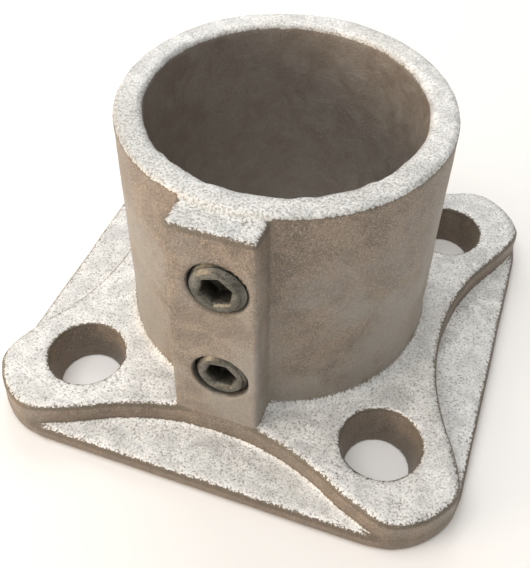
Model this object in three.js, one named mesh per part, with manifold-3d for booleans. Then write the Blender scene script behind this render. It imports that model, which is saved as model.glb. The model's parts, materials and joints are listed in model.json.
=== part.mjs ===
// Stanchion base: a cast-iron deck flange with an upright tube socket, a clamping
// boss down the front of the socket, and two hexagon-socket set screws that grip
// the tube. Millimetres, +Z up along the socket's axis. The boss faces -Y, and the
// origin is the centre of the flat underside.

import * as THREE from 'three';
import { mergeVertices } from 'three/addons/utils/BufferGeometryUtils.js';
import Module from 'manifold-3d';

const wasm = await Module();
wasm.setup();

// ---------------------------------------------------------------- dimensions

// Flange plate: four thick corner pads and centre, with a thin shelf on each side.
const plateSide = 91;
const cornerRadius = 15;
const shelfThickness = 3.8;
const padThickness = 8.6;
const flangeEdgeRound = 1.3;

// The step between shelf and pad is a concave arc on each of the four sides.
const scallopRadius = 47.7;
const scallopInset = 34.6; // nearest distance of the arc to the socket's axis
const padTipRadius = 5; // where the arc meets the corner pad's outer edge

// Bolt holes, one in each corner, narrowing downwards with the casting's draft.
const boltPitch = 59;
const boltHoleTopRadius = 7.4;
const boltHoleBottomRadius = 5.9;
const boltHoleChamfer = 0.5;

// Socket for a tube of 48.3 mm outside diameter. Its outside widens downwards.
const tubeDiameter = 48.3;
const tubeClearance = 0.15;
const socketRimWall = 4.85;
const socketHeight = 55.2;
const draftSlope = Math.tan(THREE.MathUtils.degToRad(0.3));
const socketBaseFillet = 2.5;
const rimOuterRound = 1.2;
const rimInnerRound = 1.5;

// Boss that carries the two set screws. It widens downwards, to end flush with the
// step below it. Width and reach are those at its top.
const bossWidth = 15.1;
const bossOffset = -0.3;
const bossReach = 34; // distance of its face from the socket's axis
const bossHeight = 54.2;
const bossSlope = Math.tan(THREE.MathUtils.degToRad(0.6));
const bossCornerRound = 1;
const bossTopRound = 0.8;

// Set screws: M10, 10 long, with a cup point and a 5 mm hexagon socket.
const screwRadius = 5;
const screwLength = 10;
const screwEndChamfer = 0.9;
const cupRadius = 2.6;
const cupDepth = 1.2;
const keyAcrossFlats = 5;
const keySocketDepth = 3.5;
const screwHoleClearance = 0.3;
const screwHoleChamfer = 0.4;

// Each screw's height, how far it stands out of the boss, and how its hexagon is
// turned. Both sit to the right of the boss's middle.
const screwOffset = 0.7;
const setScrews = {
  upper_set_screw: { height: 42.9, proud: 0.8, turn: -10 },
  lower_set_screw: { height: 20.9, proud: -0.1, turn: -20 },
};

const plateHalf = plateSide / 2;
const socketInnerRadius = tubeDiameter / 2 + tubeClearance;
const socketRimRadius = socketInnerRadius + socketRimWall;
const socketBaseRadius = socketRimRadius + draftSlope * (socketHeight - padThickness);
const screwHoleRadius = screwRadius + screwHoleClearance;

// Facets, and the overlap that keeps cut faces from lying on each other.
const roundSegments = 72;
const holeSegments = 32;
const edgeSegments = 3;
const cornerSteps = 12;
const scallopSteps = 24;
const overshoot = 2;
const weldTolerance = 1e-4;

// ---------------------------------------------------------------- solids

function solidOf(geometry) {
  geometry.deleteAttribute('normal');
  geometry.deleteAttribute('uv');
  const welded = mergeVertices(geometry, weldTolerance);
  return new wasm.Manifold(new wasm.Mesh({
    numProp: 3,
    vertProperties: new Float32Array(welded.attributes.position.array),
    triVerts: new Uint32Array(welded.index.array),
  }));
}

function geometryOf(solid) {
  const mesh = solid.getMesh();
  const geometry = new THREE.BufferGeometry();
  geometry.setAttribute('position', new THREE.BufferAttribute(mesh.vertProperties, 3));
  geometry.setIndex(new THREE.BufferAttribute(mesh.triVerts, 1));
  geometry.computeVertexNormals();
  return geometry;
}

// Points of an arc, ends included.
function arc(centreX, centreY, radius, startAngle, endAngle, steps) {
  const points = [];
  for (let step = 0; step <= steps; step += 1) {
    const angle = startAngle + ((endAngle - startAngle) * step) / steps;
    points.push(new THREE.Vector2(
      centreX + radius * Math.cos(angle),
      centreY + radius * Math.sin(angle),
    ));
  }
  return points;
}

// A solid turned about the Z axis from an outline of (radius, height) points that
// runs up the outside.
function turned(outline, segments) {
  const geometry = new THREE.LatheGeometry(outline, segments);
  geometry.rotateX(Math.PI / 2);
  return solidOf(geometry);
}

// A slab with its top and bottom edges rounded over.
function slabGeometry(outline, bottom, top, edgeRound) {
  const geometry = new THREE.ExtrudeGeometry(new THREE.Shape(outline), {
    depth: top - bottom - 2 * edgeRound,
    bevelThickness: edgeRound,
    bevelSize: edgeRound,
    bevelOffset: -edgeRound,
    bevelSegments: edgeSegments,
  });
  geometry.translate(0, 0, bottom + edgeRound);
  return geometry;
}

// ---------------------------------------------------------------- outlines

function quarterTurned(points, turns) {
  const origin = new THREE.Vector2();
  return points.map((point) => point.clone().rotateAround(origin, (turns * Math.PI) / 2));
}

// The outline repeats on each side of the square, going round anticlockwise.
function fourSided(sideOutline) {
  const outline = [];
  for (let side = 0; side < 4; side += 1) {
    outline.push(...quarterTurned(sideOutline, side));
  }
  return outline;
}

function plateOutline() {
  const centre = plateHalf - cornerRadius;
  return fourSided(arc(centre, centre, cornerRadius, 0, Math.PI / 2, cornerSteps));
}

// The crossing of two circles that lies further along +X.
function circlesMeet(centreA, radiusA, centreB, radiusB) {
  const between = centreB.clone().sub(centreA);
  const distance = between.length();
  const along = (radiusA ** 2 - radiusB ** 2 + distance ** 2) / (2 * distance);
  const across = Math.sqrt(radiusA ** 2 - along ** 2);
  const direction = between.divideScalar(distance);
  return new THREE.Vector2(
    centreA.x + direction.x * along + Math.abs(direction.y) * across,
    centreA.y + direction.y * along + Math.abs(direction.x) * across,
  );
}

function directionAngle(from, to) {
  return Math.atan2(to.y - from.y, to.x - from.x);
}

// Corner pads and centre: each side is a concave arc, each corner follows the
// plate, and a small round joins the two.
function padOutline() {
  const corner = new THREE.Vector2(plateHalf - cornerRadius, plateHalf - cornerRadius);
  const scallop = new THREE.Vector2(0, scallopInset + scallopRadius);
  const tip = circlesMeet(
    corner, cornerRadius - padTipRadius, scallop, scallopRadius + padTipRadius,
  );
  const tipStart = directionAngle(corner, tip);
  const tipEnd = directionAngle(tip, scallop);
  const scallopStart = directionAngle(scallop, tip);
  const cornerArc = arc(
    corner.x, corner.y, cornerRadius, Math.PI / 2 - tipStart, tipStart, cornerSteps,
  );
  const tipArc = arc(tip.x, tip.y, padTipRadius, tipStart, tipEnd, edgeSegments);
  const scallopArc = arc(
    scallop.x, scallop.y, scallopRadius, scallopStart, -Math.PI - scallopStart, scallopSteps,
  );
  const secondTipArc = tipArc.map((point) => new THREE.Vector2(-point.x, point.y)).reverse();
  const withoutEnd = (points) => points.slice(0, -1);
  return fourSided([
    ...withoutEnd(cornerArc),
    ...withoutEnd(tipArc),
    ...withoutEnd(scallopArc),
    ...withoutEnd(secondTipArc),
  ]);
}

// How far the boss's face stands from the axis at a height.
function bossFace(height) {
  return bossReach + bossSlope * (bossHeight - height);
}

function bossOutline() {
  const halfWidth = bossWidth / 2;
  const cornerX = halfWidth - bossCornerRound;
  const cornerY = -bossReach + bossCornerRound;
  return [
    ...arc(-cornerX, cornerY, bossCornerRound, Math.PI, 1.5 * Math.PI, edgeSegments),
    ...arc(cornerX, cornerY, bossCornerRound, 1.5 * Math.PI, 2 * Math.PI, edgeSegments),
    new THREE.Vector2(halfWidth, -socketInnerRadius + overshoot),
    new THREE.Vector2(-halfWidth, -socketInnerRadius + overshoot),
  ];
}

// ---------------------------------------------------------------- casting

// The boss is a slab whose sides and face lean out towards its foot.
function boss() {
  const geometry = slabGeometry(bossOutline(), -overshoot, bossHeight, bossTopRound);
  const points = geometry.attributes.position;
  for (let i = 0; i < points.count; i += 1) {
    const spread = bossSlope * (bossHeight - points.getZ(i));
    points.setX(i, points.getX(i) * (1 + spread / (bossWidth / 2)));
    points.setY(i, points.getY(i) * (1 + spread / bossReach));
  }
  geometry.translate(bossOffset, 0, 0);
  return solidOf(geometry);
}

function socketBody() {
  return turned([
    new THREE.Vector2(0, -overshoot),
    new THREE.Vector2(socketBaseRadius + socketBaseFillet, -overshoot),
    ...arc(
      socketBaseRadius + socketBaseFillet, padThickness + socketBaseFillet,
      socketBaseFillet, 1.5 * Math.PI, Math.PI, edgeSegments,
    ),
    ...arc(
      socketRimRadius - rimOuterRound, socketHeight - rimOuterRound,
      rimOuterRound, 0, Math.PI / 2, edgeSegments,
    ),
    new THREE.Vector2(0, socketHeight),
  ], roundSegments);
}

function socketBore() {
  return turned([
    new THREE.Vector2(0, -2 * overshoot),
    new THREE.Vector2(socketInnerRadius, -2 * overshoot),
    ...arc(
      socketInnerRadius + rimInnerRound, socketHeight - rimInnerRound,
      rimInnerRound, Math.PI, Math.PI / 2, edgeSegments,
    ),
    new THREE.Vector2(socketInnerRadius + rimInnerRound, socketHeight + overshoot),
    new THREE.Vector2(0, socketHeight + overshoot),
  ], roundSegments);
}

function boltHole(x, y) {
  return turned([
    new THREE.Vector2(0, -2 * overshoot),
    new THREE.Vector2(boltHoleBottomRadius, -2 * overshoot),
    new THREE.Vector2(boltHoleBottomRadius, 0),
    new THREE.Vector2(boltHoleTopRadius, padThickness - boltHoleChamfer),
    new THREE.Vector2(boltHoleTopRadius + boltHoleChamfer, padThickness),
    new THREE.Vector2(boltHoleTopRadius + boltHoleChamfer, padThickness + overshoot),
    new THREE.Vector2(0, padThickness + overshoot),
  ], holeSegments).translate([x, y, 0]);
}

// The hole for a set screw runs from the boss's face into the socket.
function screwHole(height) {
  const mouth = screwHoleRadius + screwHoleChamfer;
  const length = bossFace(height) - socketInnerRadius;
  return turned([
    new THREE.Vector2(0, -2 * overshoot),
    new THREE.Vector2(screwHoleRadius, -2 * overshoot),
    new THREE.Vector2(screwHoleRadius, length - screwHoleChamfer),
    new THREE.Vector2(mouth, length),
    new THREE.Vector2(mouth, length + overshoot),
    new THREE.Vector2(0, length + overshoot),
  ], holeSegments).rotate([90, 0, 0]).translate([screwOffset, -socketInnerRadius, height]);
}

function aboveUnderside() {
  const height = 2 * socketHeight;
  const geometry = new THREE.BoxGeometry(2 * plateSide, 2 * plateSide, height);
  geometry.translate(0, 0, height / 2);
  return solidOf(geometry);
}

function baseCasting() {
  let casting = solidOf(slabGeometry(plateOutline(), 0, shelfThickness, flangeEdgeRound))
    .add(solidOf(slabGeometry(padOutline(), 0, padThickness, flangeEdgeRound)))
    .add(boss())
    .add(socketBody())
    .subtract(socketBore());
  for (const x of [-boltPitch / 2, boltPitch / 2]) {
    for (const y of [-boltPitch / 2, boltPitch / 2]) {
      casting = casting.subtract(boltHole(x, y));
    }
  }
  for (const { height } of Object.values(setScrews)) {
    casting = casting.subtract(screwHole(height));
  }
  return geometryOf(casting.intersect(aboveUnderside()));
}

// ---------------------------------------------------------------- set screws

// A set screw along Z, its key socket at the top and its cup point at the bottom.
function setScrew(turn) {
  const threadRoot = screwRadius - screwEndChamfer;
  const body = turned([
    new THREE.Vector2(0, cupDepth),
    new THREE.Vector2(cupRadius, 0),
    new THREE.Vector2(threadRoot, 0),
    new THREE.Vector2(screwRadius, screwEndChamfer),
    new THREE.Vector2(screwRadius, screwLength - screwEndChamfer),
    new THREE.Vector2(threadRoot, screwLength),
    new THREE.Vector2(0, screwLength),
  ], holeSegments);
  const acrossCorners = keyAcrossFlats / Math.cos(Math.PI / 6);
  const key = new THREE.CylinderGeometry(
    acrossCorners / 2, acrossCorners / 2, keySocketDepth + overshoot, 6,
  );
  key.rotateX(Math.PI / 2);
  key.rotateZ(THREE.MathUtils.degToRad(turn));
  key.translate(0, 0, screwLength - keySocketDepth / 2 + overshoot / 2);
  return geometryOf(body.subtract(solidOf(key)));
}

// ---------------------------------------------------------------- assembly

const galvanisedIron = new THREE.MeshStandardMaterial({
  color: 0xb9b0a6, roughness: 0.62, metalness: 0.75,
});
const zincPlatedSteel = new THREE.MeshStandardMaterial({
  color: 0x6f7067, roughness: 0.4, metalness: 0.9,
});

const stanchionBase = new THREE.Group();

const castingMesh = new THREE.Mesh(baseCasting(), galvanisedIron);
castingMesh.name = 'base_casting';
stanchionBase.add(castingMesh);

for (const [name, { height, proud, turn }] of Object.entries(setScrews)) {
  const screwMesh = new THREE.Mesh(setScrew(turn), zincPlatedSteel);
  screwMesh.name = name;
  screwMesh.rotation.x = Math.PI / 2;
  screwMesh.position.set(screwOffset, screwLength - bossFace(height) - proud, height);
  stanchionBase.add(screwMesh);
}

export default stanchionBase;
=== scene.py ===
"""Stanchion base: the looks. A galvanised iron casting with two zinc-plated set screws.

Lengths in the constants are millimetres and angles degrees. Everything is built in
metres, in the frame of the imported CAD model: Z up the socket, the boss facing -Y,
and the origin at the centre of the underside.
"""

import itertools
import json
import math

import bpy
import numpy as np
import openvdb
from mathutils import Matrix, Vector


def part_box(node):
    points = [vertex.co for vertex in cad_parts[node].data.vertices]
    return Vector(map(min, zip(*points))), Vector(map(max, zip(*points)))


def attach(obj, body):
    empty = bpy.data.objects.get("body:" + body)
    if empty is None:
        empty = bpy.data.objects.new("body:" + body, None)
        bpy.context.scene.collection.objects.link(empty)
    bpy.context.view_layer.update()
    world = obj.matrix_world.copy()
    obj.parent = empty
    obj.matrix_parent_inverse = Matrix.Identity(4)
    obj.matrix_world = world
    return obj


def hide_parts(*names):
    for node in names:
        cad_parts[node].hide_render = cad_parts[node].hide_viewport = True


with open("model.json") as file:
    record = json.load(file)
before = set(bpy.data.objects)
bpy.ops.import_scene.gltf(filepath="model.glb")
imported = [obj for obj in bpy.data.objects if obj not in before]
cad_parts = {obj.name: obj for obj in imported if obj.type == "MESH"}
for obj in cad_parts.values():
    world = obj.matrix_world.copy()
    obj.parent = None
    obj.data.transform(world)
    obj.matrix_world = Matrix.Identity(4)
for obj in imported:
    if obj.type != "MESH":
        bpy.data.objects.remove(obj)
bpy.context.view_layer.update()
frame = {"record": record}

MM = 0.001

# ------------------------------------------------------------------ sizes from the frame

casting_low, casting_high = (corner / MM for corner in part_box("base_casting"))
mounts = {mount["name"]: Vector(mount["pos_m"]) / MM for mount in frame["record"]["mounts"]}
openings = {box["name"]: box["box_m"] for box in frame["record"]["physics"]["openings"]}

PLATE_HALF = casting_high.x
SOCKET_HEIGHT = casting_high.z
PAD_HEIGHT = mounts["bolt_seat_front_left"].z
BOLT_HOLE_CENTRES = sorted({
    tuple(round(number, 3) for number in (Vector(low) + Vector(high)).xy / 2 / MM)
    for name, (low, high) in openings.items()
    if name.startswith("bolt_hole")
})
SCREW_CENTRES = {
    name: sum(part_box(name), Vector()) / 2 / MM for name in ("upper_set_screw", "lower_set_screw")
}

# ------------------------------------------------------------------ sizes of the casting

CORNER_RADIUS = 15.0
SHELF_HEIGHT = 3.8
FLANGE_EDGE_ROUND = 1.3
SHELF_FILLET = 0.7
SCALLOP_RADIUS = 47.7
SCALLOP_INSET = 34.6
PAD_TIP_RADIUS = 5.0
SOCKET_INNER_RADIUS = 24.3
CORE_SHIFT = (-0.2, 0.2)  # the sand core sat a little off the middle
SOCKET_RIM_RADIUS = 29.15
SOCKET_MIDDLE_RADIUS = (SOCKET_INNER_RADIUS + SOCKET_RIM_RADIUS) / 2
DRAFT_SLOPE = math.tan(math.radians(0.3))
SOCKET_BASE_FILLET = 2.2
RIM_OUTER_ROUND = 0.9
RIM_INNER_ROUND = 1.3
BOSS_HALF_WIDTH = 7.65
BOSS_OFFSET = -0.4
BOSS_REACH = 34.0
BOSS_HEIGHT = 54.2
BOSS_SLOPE = math.tan(math.radians(0.6))
BOSS_CORNER_ROUND = 0.8
BOSS_TOP_ROUND = 1.0
BOSS_FILLET = 0.5
BOLT_HOLE_TOP_RADIUS = 7.4
BOLT_HOLE_BOTTOM_RADIUS = 5.9
BOLT_HOLE_ROUND = 0.5
SCREW_HOLE_RADIUS = 5.15
SCREW_HOLE_ROUND = 0.35

GRID_STEP = 0.65  # keeps the casting under 200,000 triangles
GRID_MARGIN = 3.0
PROJECTION_ROUNDS = 3
LEAST_SQUARED_SLOPE = 0.25  # keeps a projected point from jumping where the distance is flat

# Bands just above a flat where the zinc and the painted light from above show: its height, the
# band's reach, and how strongly.
ZINC_BANDS = ((SHELF_HEIGHT, 1.2, 0.3), (PAD_HEIGHT, 3.5, 0.3), (BOSS_HEIGHT, 3.0, 0.4))

# Each layer of the cast skin: how far it stands out or in, the size of its lumps, its seed.
SKIN_LAYERS = ((0.10, 11.0, 1), (0.06, 3.2, 2), (0.04, 1.1, 3))
MOUTH_LAYER = (0.25, 1.7, 4)
MOUTH_LAYER_REACH = 1.5

# ------------------------------------------------------------------ sizes of the set screws

THREAD_PITCH = 1.5
THREAD_DEPTH = 0.9
THREAD_ROOT_SHARE = 0.12  # of half a pitch
THREAD_FLANK_SHARE = 0.68
SCREW_END_CHAMFER = THREAD_DEPTH + 0.1
KEY_ACROSS_FLATS = 5.0
KEY_DEPTH = 3.5
KEY_FLAT_TO_CORNER = 30.0
SCREW_TURNS = {"upper_set_screw": -10.0, "lower_set_screw": -20.0}
SCREW_BODIES = {"upper_set_screw": "upper_screw", "lower_set_screw": "lower_screw"}
SCREW_SEGMENTS = 96
RINGS_PER_PITCH = 12

# Rings of the cup point as (radius, depth) and of the key socket as (widening, depth).
CUP_POINT = ((0.4, 1.3), (1.4, 0.7), (2.6, 0.0), (3.0, 0.0))
KEY_MOUTH = ((0.75, 0.0), (0.5, 0.0), (0.15, 0.3), (0.0, 0.5))
KEY_WALL = ((0.0, 1.5), (0.0, 2.5), (0.0, KEY_DEPTH - 0.1))
# Rings of the key socket's floor as (share of the hexagon, depth), then its centre.
KEY_FLOOR = ((0.97, KEY_DEPTH), (0.5, KEY_DEPTH + 0.25))
KEY_CENTRE_RADIUS = 0.2
KEY_CENTRE_DEPTH = KEY_DEPTH + 0.5

# ------------------------------------------------------------------ camera

CAMERA_AZIMUTH = 18.96
CAMERA_ELEVATION = 47.2
CAMERA_ROLL = 1.15
CAMERA_DISTANCE = 158.9
CAMERA_TARGET_HEIGHT = 30.0
CAMERA_SLIDE_RIGHT = -3.04
CAMERA_SLIDE_UP = -13.97
CAMERA_LENS = 52.76
SENSOR_WIDTH = 36.0

# ------------------------------------------------------------------ floor and lights, in metres

FLOOR_SIDE = 4.0
FLOOR_POINTS = 5  # along each side
LIGHT_TARGET = (0, 0, 0.03)

# name, place, size, power, tint
LIGHTS = (
    ("overhead", (-0.15, -0.20, 0.85), 0.8, 5.0, (1.0, 0.995, 0.98)),
    ("back_key", (-0.16, 0.36, 0.42), 0.35, 0.9, (1.0, 0.99, 0.97)),
    ("front_left_fill", (-0.50, -0.42, 0.13), 0.4, 3.1, (1.0, 0.78, 0.56)),
)
WORLD_STRENGTH = 0.41

# ------------------------------------------------------------------ colours


def colour(red, green, blue):
    return (red, green, blue, 1.0)


# Zinc tones for what faces up; the pale tops also stand in for light from above.
DULL_ZINC = colour(0.60, 0.605, 0.60)
BRIGHT_ZINC = colour(0.86, 0.865, 0.855)
ZINC_STAIN = colour(0.60, 0.59, 0.565)
ZINC_PIT = colour(0.28, 0.275, 0.26)
ZINC_GLINT = colour(0.97, 0.97, 0.96)
# Painted shade at the front of the top.
SHADED_FRONT_PIT = colour(0.16, 0.16, 0.145)
SHADED_FRONT_ZINC = colour(0.62, 0.62, 0.60)
# Film tones: the film's own brown together with painted warm shade on the sides.
DARK_SHADED_FILM = colour(0.195, 0.158, 0.124)
PALE_SHADED_FILM = colour(0.32, 0.262, 0.207)
FILM_STAIN = colour(0.27, 0.25, 0.22)
FILM_PIT = colour(0.11, 0.085, 0.06)
FILM_GLINT = colour(0.64, 0.52, 0.41)
FILM_EDGE = colour(0.12, 0.105, 0.08)
# Painted shade near the floor.
SHADE_AT_FLOOR = colour(0.12, 0.09, 0.07)
GREY_FILM = colour(0.40, 0.375, 0.34)
DARK_BORE = colour(0.29, 0.248, 0.21)
LIGHT_BORE = colour(0.37, 0.335, 0.30)
BORE_PIT = colour(0.20, 0.17, 0.145)
# Painted shade on the walls of the set screws' holes.
SCREW_HOLE_SHADE = colour(0.10, 0.09, 0.075)
DARK_STEEL = colour(0.12, 0.115, 0.095)
LIGHT_STEEL = colour(0.22, 0.21, 0.18)
STEEL_PIT = colour(0.05, 0.047, 0.04)
# Painted shade in the key sockets.
KEY_SOCKET_SHADE = colour(0.03, 0.026, 0.02)
FLOOR_WHITE = colour(0.92, 0.91, 0.90)
WORLD_WHITE = colour(1.0, 0.96, 0.91)


# ------------------------------------------------------------------ distances
# Each returns the signed distance of points to a surface, negative inside.

def round_union(a, b, radius):
    """Either body, with a fillet of this radius where they meet."""
    return np.maximum(radius, np.minimum(a, b)) - np.hypot(
        np.maximum(radius - a, 0), np.maximum(radius - b, 0)
    )


def round_intersection(a, b, radius):
    """What both bodies share, with the edge between them rounded."""
    return np.minimum(-radius, np.maximum(a, b)) + np.hypot(
        np.maximum(radius + a, 0), np.maximum(radius + b, 0)
    )


def round_cut(a, b, radius):
    """Body a without b, with the edge rounded."""
    return round_intersection(a, -b, radius)


def rounded_square(x, y, half, radius):
    """Outline of a square with round corners."""
    over_x = np.abs(x) - (half - radius)
    over_y = np.abs(y) - (half - radius)
    outside = np.hypot(np.maximum(over_x, 0), np.maximum(over_y, 0))
    return outside + np.minimum(np.maximum(over_x, over_y), 0) - radius


def pad_outline(x, y):
    """The plate's outline with a concave arc taken out of each side."""
    outline = rounded_square(x, y, PLATE_HALF, CORNER_RADIUS)
    centre = SCALLOP_INSET + SCALLOP_RADIUS
    for along, across in ((x, np.abs(y)), (y, np.abs(x))):
        scallop = np.hypot(along, across - centre) - SCALLOP_RADIUS
        outline = round_cut(outline, scallop, PAD_TIP_RADIUS)
    return outline


def flange(x, y, z):
    shelf = round_intersection(
        rounded_square(x, y, PLATE_HALF, CORNER_RADIUS), z - SHELF_HEIGHT, FLANGE_EDGE_ROUND
    )
    pads = round_intersection(pad_outline(x, y), z - PAD_HEIGHT, FLANGE_EDGE_ROUND)
    both = round_union(shelf, pads, SHELF_FILLET)
    return round_intersection(both, -z, FLANGE_EDGE_ROUND)


def boss(x, y, z):
    spread = BOSS_SLOPE * (BOSS_HEIGHT - z)
    sides = round_intersection(
        np.abs(x - BOSS_OFFSET) - BOSS_HALF_WIDTH - spread,
        -y - BOSS_REACH - spread,
        BOSS_CORNER_ROUND,
    )
    top = round_intersection(sides, z - BOSS_HEIGHT, BOSS_TOP_ROUND)
    return np.maximum(top, y + SOCKET_INNER_RADIUS)


def bolt_hole(x, y, z, centre):
    draft = (BOLT_HOLE_TOP_RADIUS - BOLT_HOLE_BOTTOM_RADIUS) / PAD_HEIGHT
    radius = BOLT_HOLE_BOTTOM_RADIUS + draft * np.minimum(z, PAD_HEIGHT)
    return np.hypot(x - centre[0], y - centre[1]) - radius


def screw_hole(x, y, z, centre):
    side = np.hypot(x - centre.x, z - centre.z) - SCREW_HOLE_RADIUS
    return np.maximum(side, y + SOCKET_INNER_RADIUS / 2)


def casting(x, y, z):
    distance_from_axis = np.hypot(x, y)
    tube = round_intersection(
        distance_from_axis - SOCKET_RIM_RADIUS - DRAFT_SLOPE * (SOCKET_HEIGHT - z),
        z - SOCKET_HEIGHT,
        RIM_OUTER_ROUND,
    )
    body = round_union(flange(x, y, z), tube, SOCKET_BASE_FILLET)
    body = round_union(body, boss(x, y, z), BOSS_FILLET)
    bore = np.hypot(x - CORE_SHIFT[0], y - CORE_SHIFT[1]) - SOCKET_INNER_RADIUS
    body = round_cut(body, bore, RIM_INNER_ROUND)
    for centre in BOLT_HOLE_CENTRES:
        body = round_cut(body, bolt_hole(x, y, z, centre), BOLT_HOLE_ROUND)
    for centre in SCREW_CENTRES.values():
        body = round_cut(body, screw_hole(x, y, z, centre), SCREW_HOLE_ROUND)
    return np.maximum(body, -z)


# ------------------------------------------------------------------ surface from distances

def gradient(distance, points, step=0.05):
    columns = []
    for axis in range(3):
        shift = np.zeros(3)
        shift[axis] = step
        ahead = distance(*(points + shift).T)
        behind = distance(*(points - shift).T)
        columns.append((ahead - behind) / (2 * step))
    return np.stack(columns, axis=1)


def surface(distance, low, high, step):
    """Points and faces of the surface where distance is zero."""
    axes = [np.arange(low[i] - GRID_MARGIN, high[i] + GRID_MARGIN, step) for i in range(3)]
    x, y, z = np.meshgrid(*axes, indexing="ij", sparse=True)
    values = distance(x, y, z).astype(np.float32)
    grid = openvdb.FloatGrid(GRID_MARGIN)
    grid.copyFromArray(values)
    points, triangles, quads = grid.convertToPolygons(isovalue=0, adaptivity=0)
    points = points.astype(float) * step + np.array([axis[0] for axis in axes])
    faces = [face[::-1] for face in triangles.tolist() + quads.tolist()]
    for _ in range(PROJECTION_ROUNDS):
        slope = gradient(distance, points)
        squared_slope = np.maximum((slope ** 2).sum(axis=1), LEAST_SQUARED_SLOPE)
        points -= slope * (distance(*points.T) / squared_slope)[:, None]
    return points, faces


def lattice_noise(points, cell, seed):
    """Smooth random values from -1 to 1 with one lattice value every cell."""
    table_size = 32
    table = np.random.default_rng(seed).uniform(-1, 1, (table_size, table_size, table_size))
    scaled = points / cell
    base = np.floor(scaled).astype(int)
    part = scaled - base
    part = part * part * (3 - 2 * part)
    total = np.zeros(len(points))
    for corner in itertools.product((0, 1), repeat=3):
        weight = np.prod(np.where(corner, part, 1 - part), axis=1)
        index = tuple((base + corner).T % table_size)
        total += weight * table[index]
    return total


def mesh_object(name, points, faces):
    mesh = bpy.data.meshes.new(name)
    mesh.from_pydata((points * MM).tolist(), [], faces)
    mesh.validate()
    mesh.polygons.foreach_set("use_smooth", [True] * len(mesh.polygons))
    mesh.update()
    piece = bpy.data.objects.new(name, mesh)
    bpy.context.scene.collection.objects.link(piece)
    return piece


# ------------------------------------------------------------------ casting

def sand_cast_skin(points):
    """How far each point of the casting stands out or in, as sand and zinc leave it."""
    skin = sum(height * lattice_noise(points, cell, seed) for height, cell, seed in SKIN_LAYERS)
    from_bore = np.hypot(points[:, 0], points[:, 1]) - SOCKET_INNER_RADIUS
    from_rim = (points[:, 2] - SOCKET_HEIGHT) / MOUTH_LAYER_REACH
    at_mouth = np.exp(-(from_bore ** 2) - from_rim ** 2)
    height, cell, seed = MOUTH_LAYER
    return skin + height * lattice_noise(points, cell, seed) * at_mouth


def make_casting():
    points, faces = surface(casting, casting_low, casting_high, GRID_STEP)
    outward = gradient(casting, points)
    outward /= np.maximum(np.linalg.norm(outward, axis=1, keepdims=True), 1e-6)
    above_underside = np.clip(points[:, 2] / SHELF_HEIGHT, 0, 1)
    points += outward * (sand_cast_skin(points) * above_underside)[:, None]
    piece = mesh_object("galvanised_casting", points, faces)
    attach(piece, "base")
    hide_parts("base_casting")
    return piece


# ------------------------------------------------------------------ set screws

def key_radius(angle, turn):
    """Distance from the axis to the hexagon's wall. One of its corners is at turn."""
    sector = (angle - turn) % (math.pi / 3)
    return KEY_ACROSS_FLATS / 2 / math.cos(sector - math.pi / 6)


def thread_radius(angle, along, radius, length):
    """Distance from the axis to the thread's surface, with a chamfer at each end."""
    phase = (along / THREAD_PITCH - angle / (2 * math.pi)) % 1
    from_root = abs(phase - 0.5) * 2
    ridge = min(max((from_root - THREAD_ROOT_SHARE) / THREAD_FLANK_SHARE, 0), 1)
    end_radius = radius - SCREW_END_CHAMFER
    cone = end_radius + min(along, length - along)
    return max(min(radius - THREAD_DEPTH + THREAD_DEPTH * ridge, cone), end_radius)


def screw_rings(radius, length, angles, turn):
    """Rings of (radius, distance along) from the cup's centre to the key socket's floor."""
    rings = [[ring] * SCREW_SEGMENTS for ring in CUP_POINT]
    steps = round(length / THREAD_PITCH * RINGS_PER_PITCH)
    for step in range(steps + 1):
        along = length * step / steps
        rings.append([(thread_radius(angle, along, radius, length), along) for angle in angles])
    for widening, depth in KEY_MOUTH + KEY_WALL:
        rings.append([(key_radius(angle, turn) + widening, length - depth) for angle in angles])
    for share, depth in KEY_FLOOR:
        rings.append([(key_radius(angle, turn) * share, length - depth) for angle in angles])
    rings.append([(KEY_CENTRE_RADIUS, length - KEY_CENTRE_DEPTH)] * SCREW_SEGMENTS)
    return rings


def ring_faces(ring_count):
    """Faces between neighbouring rings, with a cap on the first and on the last."""
    faces = [list(range(SCREW_SEGMENTS))[::-1]]
    for ring in range(ring_count - 1):
        lower = ring * SCREW_SEGMENTS
        upper = lower + SCREW_SEGMENTS
        for i in range(SCREW_SEGMENTS):
            after = (i + 1) % SCREW_SEGMENTS
            faces.append([lower + i, lower + after, upper + after, upper + i])
    last = (ring_count - 1) * SCREW_SEGMENTS
    faces.append(list(range(last, last + SCREW_SEGMENTS)))
    return faces


def make_set_screw(name, body_name):
    low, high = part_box(name)
    centre = (low + high) / 2 / MM
    radius = (high.x - low.x) / 2 / MM
    length = (high.y - low.y) / MM
    turn = math.radians(SCREW_TURNS[name] + KEY_FLAT_TO_CORNER)
    angles = [turn + 2 * math.pi * i / SCREW_SEGMENTS for i in range(SCREW_SEGMENTS)]
    rings = screw_rings(radius, length, angles, turn)
    points = [
        (
            centre.x + ring_radius * math.cos(angle),
            centre.y + length / 2 - along,
            centre.z + ring_radius * math.sin(angle),
        )
        for ring in rings
        for angle, (ring_radius, along) in zip(angles, ring)
    ]
    piece_name = name.replace("set_screw", "grub_screw")
    piece = mesh_object(piece_name, np.array(points), ring_faces(len(rings)))
    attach(piece, body_name)
    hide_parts(name)
    return piece


# ------------------------------------------------------------------ materials

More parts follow.
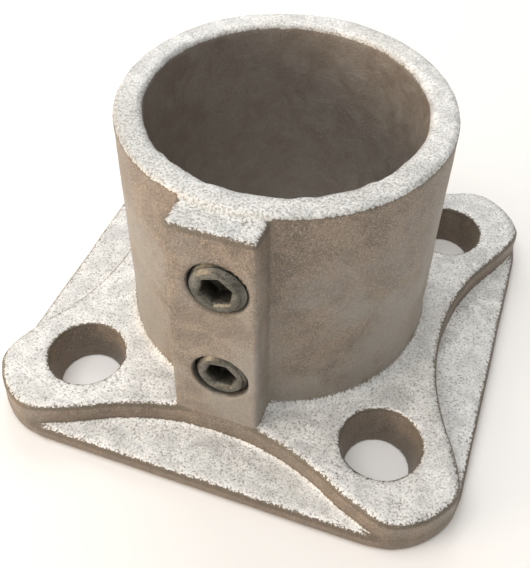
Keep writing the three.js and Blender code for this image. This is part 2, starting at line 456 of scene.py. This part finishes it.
class Nodes:
    """Short calls for building a material's node tree."""

    def __init__(self, material):
        material.use_nodes = True
        self.tree = material.node_tree
        self.shader = self.tree.nodes["Principled BSDF"]
        self.place = self.add("ShaderNodeTexCoord").outputs["Object"]

    def add(self, kind, **settings):
        node = self.tree.nodes.new(kind)
        for name, value in settings.items():
            setattr(node, name, value)
        return node

    def link(self, source, socket):
        self.tree.links.new(source, socket)

    def fill(self, socket, value):
        if isinstance(value, bpy.types.NodeSocket):
            self.link(value, socket)
        else:
            socket.default_value = value

    def parts(self, vector):
        node = self.add("ShaderNodeSeparateXYZ")
        self.link(vector, node.inputs[0])
        return node.outputs

    def distance(self, centre, across):
        """Distance from an axis through a centre; across is 1 along both other axes."""
        offset = self.add("ShaderNodeVectorMath", operation="SUBTRACT")
        self.link(self.place, offset.inputs[0])
        offset.inputs[1].default_value = centre
        flat = self.add("ShaderNodeVectorMath", operation="MULTIPLY")
        self.link(offset.outputs["Vector"], flat.inputs[0])
        flat.inputs[1].default_value = across
        length = self.add("ShaderNodeVectorMath", operation="LENGTH")
        self.link(flat.outputs["Vector"], length.inputs[0])
        return length.outputs["Value"]

    def noise(self, scale, detail, roughness, distortion=0.0):
        node = self.add("ShaderNodeTexNoise")
        self.link(self.place, node.inputs["Vector"])
        node.inputs["Scale"].default_value = scale
        node.inputs["Detail"].default_value = detail
        node.inputs["Roughness"].default_value = roughness
        node.inputs["Distortion"].default_value = distortion
        return node.outputs["Fac"]

    def ramp(self, value, low, high, out_low=0.0, out_high=1.0):
        node = self.add("ShaderNodeMapRange", interpolation_type="SMOOTHSTEP")
        self.fill(node.inputs["Value"], value)
        for name, number in (("From Min", low), ("From Max", high),
                             ("To Min", out_low), ("To Max", out_high)):
            node.inputs[name].default_value = number
        return node.outputs["Result"]

    def band(self, value, low, high):
        """1 just above low, fading out to 0 at high. Both in millimetres."""
        above = self.ramp(value, low * MM, (low + 0.1) * MM)
        return self.times(above, self.ramp(value, high * MM, (low + high) / 2 * MM))

    def math(self, operation, a, b):
        node = self.add("ShaderNodeMath", operation=operation)
        self.fill(node.inputs[0], a)
        self.fill(node.inputs[1], b)
        return node.outputs[0]

    def times(self, product, *factors):
        for factor in factors:
            product = self.math("MULTIPLY", product, factor)
        return product

    def mix(self, share, a, b):
        node = self.add("ShaderNodeMix", data_type="RGBA")
        self.fill(node.inputs["Factor"], share)
        self.fill(node.inputs["A"], a)
        self.fill(node.inputs["B"], b)
        return node.outputs["Result"]

    def bump(self, height, strength, distance, normal=None):
        node = self.add("ShaderNodeBump")
        node.inputs["Strength"].default_value = strength
        node.inputs["Distance"].default_value = distance
        self.link(height, node.inputs["Height"])
        if normal is not None:
            self.link(normal, node.inputs["Normal"])
        return node.outputs["Normal"]


class CastingNodes(Nodes):
    """The noises in the casting's finish, and the places that the finish depends on."""

    def __init__(self, material):
        super().__init__(material)
        self.blotches = self.noise(scale=70, detail=4, roughness=0.6)
        self.patches = self.noise(scale=230, detail=5, roughness=0.65, distortion=0.6)
        self.speckle = self.noise(scale=2300, detail=3, roughness=0.75)
        self.grit = self.noise(scale=4200, detail=2, roughness=0.6)
        place = self.parts(self.place)
        self.height = place["Z"]
        self.in_front = self.ramp(place["Y"], 0.0, -SOCKET_INNER_RADIUS * MM / 2)
        self.from_axis = self.distance((0, 0, 0), (1, 1, 0))
        self.inside = self.ramp(
            self.from_axis, SOCKET_MIDDLE_RADIUS * MM, SOCKET_INNER_RADIUS * MM
        )
        # How far the surface faces up, made uneven so that each finish ends in a ragged line.
        facing_up = self.parts(self.add("ShaderNodeNewGeometry").outputs["Normal"])["Z"]
        unevenness = self.ramp(self.speckle, 0.3, 0.7, -0.16, 0.16)
        self.facing_up = self.math("ADD", facing_up, unevenness)


def zinc_and_front_shade_colour(nodes):
    """Pale speckled zinc, duller at the front of the top, where shade is painted."""
    zinc = nodes.mix(nodes.ramp(nodes.patches, 0.36, 0.62), DULL_ZINC, BRIGHT_ZINC)
    zinc = nodes.mix(nodes.ramp(nodes.blotches, 0.5, 0.68, 0.0, 0.5), zinc, ZINC_STAIN)
    zinc = nodes.mix(nodes.ramp(nodes.speckle, 0.36, 0.54, 0.65, 0.0), zinc, ZINC_PIT)
    zinc = nodes.mix(nodes.ramp(nodes.grit, 0.54, 0.68, 0.0, 0.6), zinc, ZINC_GLINT)
    at_top = nodes.ramp(nodes.height, (BOSS_HEIGHT - 4) * MM, (BOSS_HEIGHT - 2) * MM)
    # Painted shade: speckled darker zinc over the front of the top.
    shaded_front = nodes.mix(nodes.ramp(nodes.speckle, 0.38, 0.6), SHADED_FRONT_PIT, SHADED_FRONT_ZINC)
    return nodes.mix(nodes.times(nodes.in_front, at_top, 0.42), zinc, shaded_front)


def film_and_shade_colour(nodes):
    """Thin brown film with painted warm shade on the sides, dark at top edges, painted shade near
    the floor, and greyer on the socket's wall.
    """
    # Painted warm shade of the sides, mixed into the film's own tones.
    film = nodes.mix(nodes.ramp(nodes.patches, 0.36, 0.64), DARK_SHADED_FILM, PALE_SHADED_FILM)
    film = nodes.mix(nodes.ramp(nodes.blotches, 0.48, 0.66, 0.0, 0.6), film, FILM_STAIN)
    film = nodes.mix(nodes.ramp(nodes.speckle, 0.38, 0.54, 0.5, 0.0), film, FILM_PIT)
    film = nodes.mix(nodes.ramp(nodes.grit, 0.52, 0.66, 0.0, 0.5), film, FILM_GLINT)
    below_flat = nodes.ramp(nodes.facing_up, 0.92, 0.75)
    edge = nodes.times(nodes.ramp(nodes.facing_up, 0.15, 0.40), below_flat, 0.7)
    film = nodes.mix(edge, film, FILM_EDGE)
    # Painted shade near the floor, deepest where the casting meets it.
    near_floor = nodes.ramp(nodes.height, PAD_HEIGHT * MM, 0.0, 0.0, 0.4)
    film = nodes.mix(near_floor, film, SHADE_AT_FLOOR)
    on_socket = nodes.band(nodes.height, PAD_HEIGHT, SOCKET_HEIGHT)
    greyer = nodes.times(on_socket, nodes.ramp(nodes.blotches, 0.4, 0.6, 0.1, 0.5))
    return nodes.mix(greyer, film, GREY_FILM)


def bore_colour(nodes):
    """Thicker, greyer film inside the socket."""
    film = nodes.mix(nodes.ramp(nodes.patches, 0.3, 0.7), DARK_BORE, LIGHT_BORE)
    return nodes.mix(nodes.ramp(nodes.speckle, 0.36, 0.52, 0.3, 0.0), film, BORE_PIT)


def where_zinc_and_top_light_show(nodes):
    """1 on what faces up, on the mouth's rounding and in the bands just above a flat: pale zinc
    there, partly painted light from above.
    """
    washed = nodes.math("ADD", nodes.facing_up, nodes.times(nodes.inside, 0.5))
    for low, reach, share in ZINC_BANDS:
        band = nodes.band(nodes.height, low, low + reach)
        washed = nodes.math("ADD", washed, nodes.times(band, share))
    return nodes.ramp(washed, 0.79, 0.92)


def where_screw_hole_shade(nodes, centre):
    """1 on the wall of a set screw's hole, where shade is painted around the screw."""
    hole = nodes.ramp(
        nodes.distance(centre * MM, (1, 0, 1)),
        (SCREW_HOLE_RADIUS + SCREW_HOLE_ROUND) * MM,
        SCREW_HOLE_RADIUS * MM,
    )
    in_wall = nodes.ramp(
        nodes.from_axis, (SOCKET_INNER_RADIUS - 0.2) * MM, SOCKET_INNER_RADIUS * MM
    )
    return nodes.times(hole, in_wall, nodes.in_front)


def galvanised_iron():
    """Pale zinc with painted light where the casting faces up, a thin brown film with painted warm
    shade elsewhere, greyer in the bore.
    """
    material = bpy.data.materials.new("galvanised_iron")
    nodes = CastingNodes(material)
    shader = nodes.shader
    # Zinc and painted light from above where the casting faces up; film and painted warm shade on
    # the sides.
    finish = nodes.mix(where_zinc_and_top_light_show(nodes), film_and_shade_colour(nodes), zinc_and_front_shade_colour(nodes))
    in_bore = nodes.times(nodes.inside, nodes.ramp(nodes.facing_up, 0.38, 0.22))
    finish = nodes.mix(in_bore, finish, bore_colour(nodes))
    # Painted shade on the walls of the set screws' holes, around the screws.
    for centre in SCREW_CENTRES.values():
        finish = nodes.mix(where_screw_hole_shade(nodes, centre), finish, SCREW_HOLE_SHADE)
    nodes.link(finish, shader.inputs["Base Color"])
    nodes.link(nodes.ramp(nodes.patches, 0.3, 0.7, 0.40, 0.60), shader.inputs["Roughness"])
    shader.inputs["Metallic"].default_value = 0.25
    coarse = nodes.bump(nodes.patches, 0.5, 0.0005)
    fine = nodes.bump(nodes.speckle, 0.6, 0.00025, coarse)
    nodes.link(nodes.bump(nodes.grit, 0.4, 0.0001, fine), shader.inputs["Normal"])
    return material


def where_key_socket_shade(nodes, name):
    """0 at a screw's end, growing to 0.9 at the bottom of its key socket: painted shade deepening
    into the recess.
    """
    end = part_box(name)[0].y
    from_screw = nodes.distance(SCREW_CENTRES[name] * MM, (1, 0, 1))
    in_key = nodes.ramp(from_screw, KEY_ACROSS_FLATS * 0.65 * MM, KEY_ACROSS_FLATS * 0.5 * MM)
    along = nodes.parts(nodes.place)["Y"]
    return nodes.times(in_key, nodes.ramp(along, end + 0.4 * MM, end + KEY_DEPTH * MM, 0.0, 0.9))


def zinc_plated_steel():
    """Dull grey steel with dark pits, and painted shade in the key sockets."""
    material = bpy.data.materials.new("zinc_plated_steel")
    nodes = Nodes(material)
    shader = nodes.shader
    patches = nodes.noise(scale=500, detail=4, roughness=0.6)
    grain = nodes.noise(scale=3000, detail=2, roughness=0.6)
    tone = nodes.mix(nodes.ramp(patches, 0.35, 0.65), DARK_STEEL, LIGHT_STEEL)
    tone = nodes.mix(nodes.ramp(grain, 0.38, 0.56, 0.6, 0.0), tone, STEEL_PIT)
    # Painted shade, deepening into each key socket.
    for name in SCREW_CENTRES:
        tone = nodes.mix(where_key_socket_shade(nodes, name), tone, KEY_SOCKET_SHADE)
    nodes.link(tone, shader.inputs["Base Color"])
    nodes.link(nodes.ramp(grain, 0.3, 0.7, 0.34, 0.52), shader.inputs["Roughness"])
    shader.inputs["Metallic"].default_value = 0.7
    nodes.link(nodes.bump(grain, 0.25, 0.0001), shader.inputs["Normal"])
    return material


# ------------------------------------------------------------------ stage

def make_floor():
    places = [(i / (FLOOR_POINTS - 1) - 0.5) * FLOOR_SIDE for i in range(FLOOR_POINTS)]
    points = [(x, y, 0.0) for x in places for y in places]
    faces = [
        [i * FLOOR_POINTS + j, (i + 1) * FLOOR_POINTS + j, (i + 1) * FLOOR_POINTS + j + 1,
         i * FLOOR_POINTS + j + 1]
        for i in range(FLOOR_POINTS - 1)
        for j in range(FLOOR_POINTS - 1)
    ]
    floor = mesh_object("floor", np.array(points) / MM, faces)
    material = bpy.data.materials.new("floor")
    material.use_nodes = True
    shader = material.node_tree.nodes["Principled BSDF"]
    shader.inputs["Base Color"].default_value = FLOOR_WHITE
    shader.inputs["Roughness"].default_value = 0.9
    floor.data.materials.append(material)


def area_light(name, place, size, power, tint):
    light = bpy.data.lights.new(name, "AREA")
    light.shape = "DISK"
    light.size = size
    light.energy = power
    light.color = tint
    lamp = bpy.data.objects.new(name, light)
    lamp.location = place
    direction = Vector(LIGHT_TARGET) - Vector(place)
    lamp.rotation_euler = direction.to_track_quat("-Z", "Y").to_euler()
    bpy.context.scene.collection.objects.link(lamp)


def make_world():
    world = bpy.data.worlds.new("studio")
    bpy.context.scene.world = world
    world.use_nodes = True
    background = world.node_tree.nodes["Background"]
    background.inputs["Color"].default_value = WORLD_WHITE
    background.inputs["Strength"].default_value = WORLD_STRENGTH


def make_camera():
    azimuth, elevation, roll = map(
        math.radians, (CAMERA_AZIMUTH, CAMERA_ELEVATION, CAMERA_ROLL)
    )
    back = Vector((
        math.sin(azimuth) * math.cos(elevation),
        -math.cos(azimuth) * math.cos(elevation),
        math.sin(elevation),
    ))
    right = (-back).cross(Vector((0, 0, 1))).normalized()
    up = right.cross(-back)
    turn = Matrix.Rotation(roll, 3, back)
    data = bpy.data.cameras.new("camera")
    data.sensor_width = SENSOR_WIDTH
    data.lens = CAMERA_LENS
    data.clip_start = 0.005
    camera = bpy.data.objects.new("camera", data)
    place = Vector((0, 0, CAMERA_TARGET_HEIGHT)) + back * CAMERA_DISTANCE
    place += right * CAMERA_SLIDE_RIGHT + up * CAMERA_SLIDE_UP
    rotation = Matrix((turn @ right, turn @ up, back)).transposed()
    camera.matrix_world = Matrix.Translation(place * MM) @ rotation.to_4x4()
    bpy.context.scene.collection.objects.link(camera)
    bpy.context.scene.camera = camera


# ------------------------------------------------------------------ assembly

bpy.context.scene.view_settings.view_transform = "Standard"
make_camera()
make_world()
make_floor()
for light in LIGHTS:
    area_light(*light)

casting_piece = make_casting()
casting_piece.data.materials.append(galvanised_iron())
screw_steel = zinc_plated_steel()
for screw_name, screw_body in SCREW_BODIES.items():
    make_set_screw(screw_name, screw_body).data.materials.append(screw_steel)
